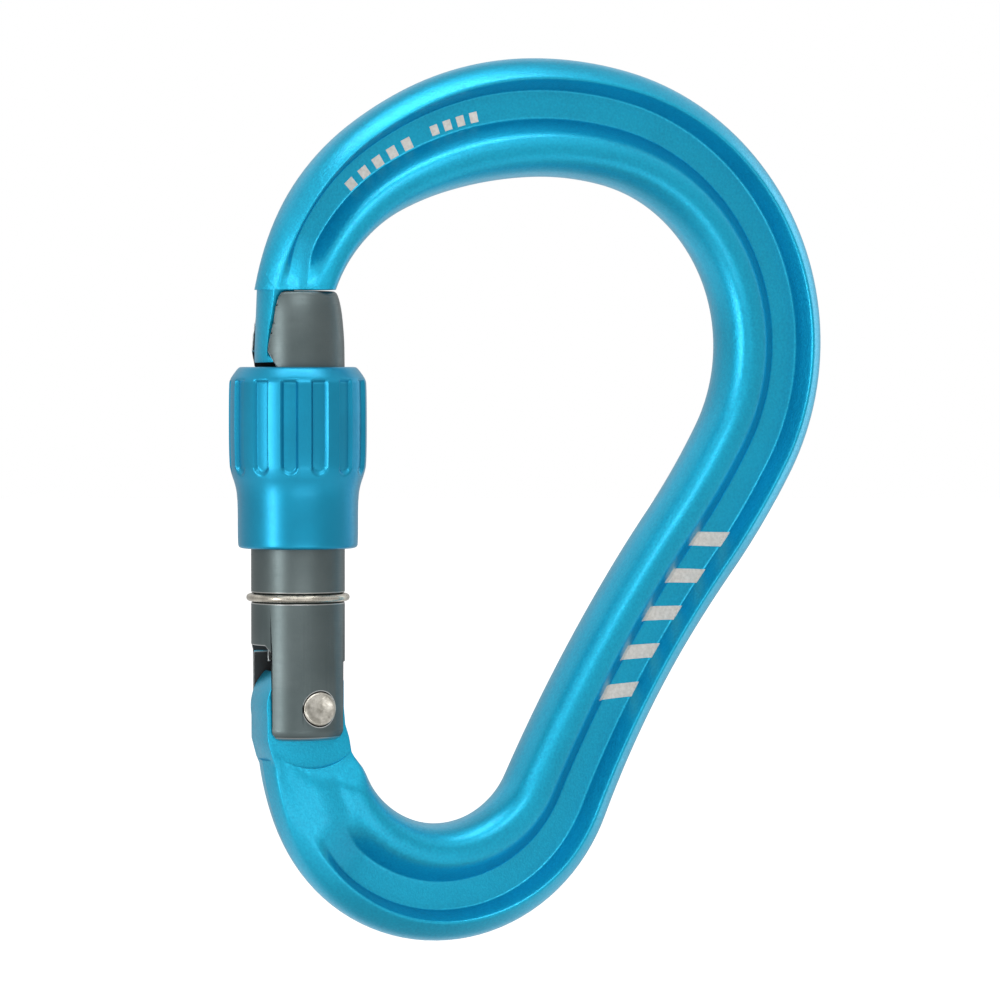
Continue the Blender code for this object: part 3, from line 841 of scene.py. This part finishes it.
def engraved_grey(name, deep, bright):
    """Laser marking: bare, matt metal."""
    make = Nodes(name)
    colour = make.mix(make.spread(make.noise(0.35, 3.0), 0.0, 1.0), deep, bright)
    make.link(colour, make.shader.inputs["Base Color"])
    make.shader.inputs["Metallic"].default_value = 0.25
    make.link(make.spread(make.noise(0.2, 2.0), 0.55, 0.75), make.shader.inputs["Roughness"])
    make.link(make.bump(make.noise(0.2, 3.0), 0.3, 0.02), make.shader.inputs["Normal"])
    return make.material


def floor_white(name):
    """A plain pale floor, hardly varied."""
    make = Nodes(name)
    patches = make.spread(make.noise(400.0, 2.0), 0.0, 1.0)
    white = make.mix(patches, (0.93, 0.93, 0.93), (0.96, 0.96, 0.96))
    make.link(white, make.shader.inputs["Base Color"])
    make.shader.inputs["Roughness"].default_value = 0.9
    make.shader.inputs["Emission Color"].default_value = (1.0, 1.0, 1.0, 1.0)
    make.shader.inputs["Emission Strength"].default_value = 0.5
    return make.material


# ---------------------------------------------------------------- studio


def make_floor():
    points = [(x, y, FLOOR_Z) for x, y in circle(FLOOR_R, FLOOR_SIDES)]
    floor = new_object("studio_floor", points, [tuple(range(FLOOR_SIDES))])
    floor.data.materials.append(floor_white("floor_white"))
    floor.visible_glossy = False


def add_softbox(name, place, size, power):
    """A soft rectangle of light that faces the part."""
    lamp = bpy.data.lights.new(name, "AREA")
    lamp.shape = "RECTANGLE"
    lamp.size, lamp.size_y = size
    lamp.energy = power
    obj = bpy.data.objects.new(name, lamp)
    obj.location = place
    obj.rotation_euler = Vector(place).to_track_quat("Z", "Y").to_euler()
    bpy.context.collection.objects.link(obj)


def make_world():
    """White round the part, and bands of light above and below for its reflections."""
    world = bpy.data.worlds.new("studio_world")
    bpy.context.scene.world = world
    world.use_nodes = True
    tree = world.node_tree
    back = tree.nodes["Background"]
    direction = tree.nodes.new("ShaderNodeSeparateXYZ")
    tree.links.new(tree.nodes.new("ShaderNodeTexCoord").outputs["Generated"], direction.inputs[0])
    height = tree.nodes.new("ShaderNodeMath")
    height.operation = "ABSOLUTE"
    tree.links.new(direction.outputs["Z"], height.inputs[0])
    ramp = tree.nodes.new("ShaderNodeValToRGB")
    stops = ((0.0, 0.55), (0.3, 0.65), (0.5, 1.0), (0.68, 0.85), (0.85, 0.5), (1.0, 0.4))
    while len(ramp.color_ramp.elements) < len(stops):
        ramp.color_ramp.elements.new(0.5)
    for element, (position, grey) in zip(ramp.color_ramp.elements, stops):
        element.position = position
        element.color = (grey, grey, grey, 1.0)
    tree.links.new(height.outputs[0], ramp.inputs[0])
    seen = tree.nodes.new("ShaderNodeMix")
    seen.data_type = "RGBA"
    tree.links.new(tree.nodes.new("ShaderNodeLightPath").outputs["Is Camera Ray"], seen.inputs[0])
    tree.links.new(ramp.outputs[0], seen.inputs[6])
    seen.inputs[7].default_value = (1.0, 1.0, 1.0, 1.0)
    tree.links.new(seen.outputs[2], back.inputs["Color"])


def make_studio():
    make_floor()
    make_world()
    add_softbox("high_front", (-0.15, -0.55, 0.42), (0.50, 0.20), 1.0)
    add_softbox("low_front", (-0.10, -0.60, -0.20), (0.50, 0.12), 0.4)
    add_softbox("left_front", (-0.60, -0.22, -0.02), (0.12, 0.50), 1.5)
    add_softbox("overhead", (-0.05, -0.12, 0.62), (0.60, 0.16), 1.7)
    add_softbox("right_side", (0.60, 0.10, 0.05), (0.25, 0.60), 0.7)


def make_camera():
    flat = math.cos(CAMERA_ELEVATION)
    sideways, forward = math.sin(CAMERA_AZIMUTH), -math.cos(CAMERA_AZIMUTH)
    away = Vector((sideways * flat, forward * flat, math.sin(CAMERA_ELEVATION)))
    data = bpy.data.cameras.new("camera")
    data.lens = CAMERA_LENS
    data.sensor_width = CAMERA_SENSOR
    camera = bpy.data.objects.new("camera", data)
    camera.location = Vector(CAMERA_AIM) + away * CAMERA_REACH
    camera.rotation_euler = away.to_track_quat("Z", "Y").to_euler()
    bpy.context.collection.objects.link(camera)
    bpy.context.scene.camera = camera


# ---------------------------------------------------------------- assembly


def keep_in_box(obj):
    """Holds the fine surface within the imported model's box."""
    (x0, y0, z0), (x1, y1, z1) = CAD_BOX
    for vertex in obj.data.vertices:
        vertex.co.x = min(max(vertex.co.x, x0), x1)
        vertex.co.y = min(max(vertex.co.y, y0), y1)
        vertex.co.z = min(max(vertex.co.z, z0), z1)


def install(obj, material, body, node=None):
    """Gives a piece its finish, its body and the node that it stands for."""
    keep_in_box(obj)
    if material:
        coat(obj, material)
    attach(obj, body)
    if node:
        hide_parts(node)


def main():
    bpy.context.scene.view_settings.view_transform = "Standard"
    deep, bright = (0.0005, 0.32, 0.52), (0.001, 0.37, 0.59)
    blue = blasted_blue("blasted_blue", deep, bright, (0.01, 0.50, 0.72), 0.38, 0.9)
    deep, bright = (0.0005, 0.25, 0.42), (0.001, 0.29, 0.48)
    sleeve_blue = turned_metal("turned_blue", deep, bright, 0.38, 0.25, 0.85, 0.3)
    grey = turned_metal("turned_grey", (0.108, 0.138, 0.140), (0.138, 0.170, 0.172), 0.42, 0.25)
    # Near-black finish for the tube's cut faces: painted shade standing in for the shadow inside the
    # cuts.
    deep, bright = (0.010, 0.012, 0.013), (0.018, 0.020, 0.021)
    cut_painted_shade = turned_metal("cut_painted_shade", deep, bright, 0.6, 0.2, 0.0)
    # Bright grey for the tube's edge rounds and foot: a painted highlight, not a worn finish.
    edge_painted_highlight = turned_metal("edge_painted_highlight", (0.42, 0.44, 0.44), (0.55, 0.57, 0.57), 0.35, 0.2)
    rivet = hammered_steel("peened_steel", (0.38, 0.36, 0.31), (0.72, 0.69, 0.62), 0.32)
    ring = drawn_wire("ring_wire", (0.38, 0.35, 0.30), (0.55, 0.52, 0.45), 0.28)
    spring = drawn_wire("spring_wire", (0.36, 0.36, 0.36), (0.52, 0.52, 0.52), 0.28)
    plunger = turned_metal("plunger_steel", (0.36, 0.36, 0.37), (0.5, 0.5, 0.5), 0.32, 0.3)
    marking = engraved_grey("engraved_grey", (0.50, 0.47, 0.43), (0.62, 0.59, 0.55))

    install(make_frame(), blue, "frame", "forged_body")
    install(make_tube(grey, cut_painted_shade, edge_painted_highlight), None, "gate", "gate_tube")
    install(make_rivet(), rivet, "gate", "hinge_rivet")
    install(make_stop_ring(), ring, "stop_ring", "sleeve_stop_ring")
    install(make_plunger(), plunger, "plunger", "spring_plunger")
    install(make_sleeve(), sleeve_blue, "sleeve", "locking_sleeve")

    dashes = [(13.9 + 2.15 * i, 15.1 + 2.15 * i, 0.39, 0.50, 0.0) for i in range(5)]
    dashes += [(26.5 + 1.75 * i, 27.5 + 1.75 * i, 0.39, 0.48, 0.0) for i in range(4)]
    install(make_marks("web_dashes", dashes), marking, "frame")
    bars = [(113.2 + 5.6 * i, 115.3 + 5.6 * i, 0.265, 0.565, 2.6) for i in range(5)]
    install(make_marks("spine_bars", bars), marking, "frame")

    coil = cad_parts["gate_spring"]
    for entry in coil.material_slots:
        entry.material = spring
    make_studio()
    make_camera()


main()
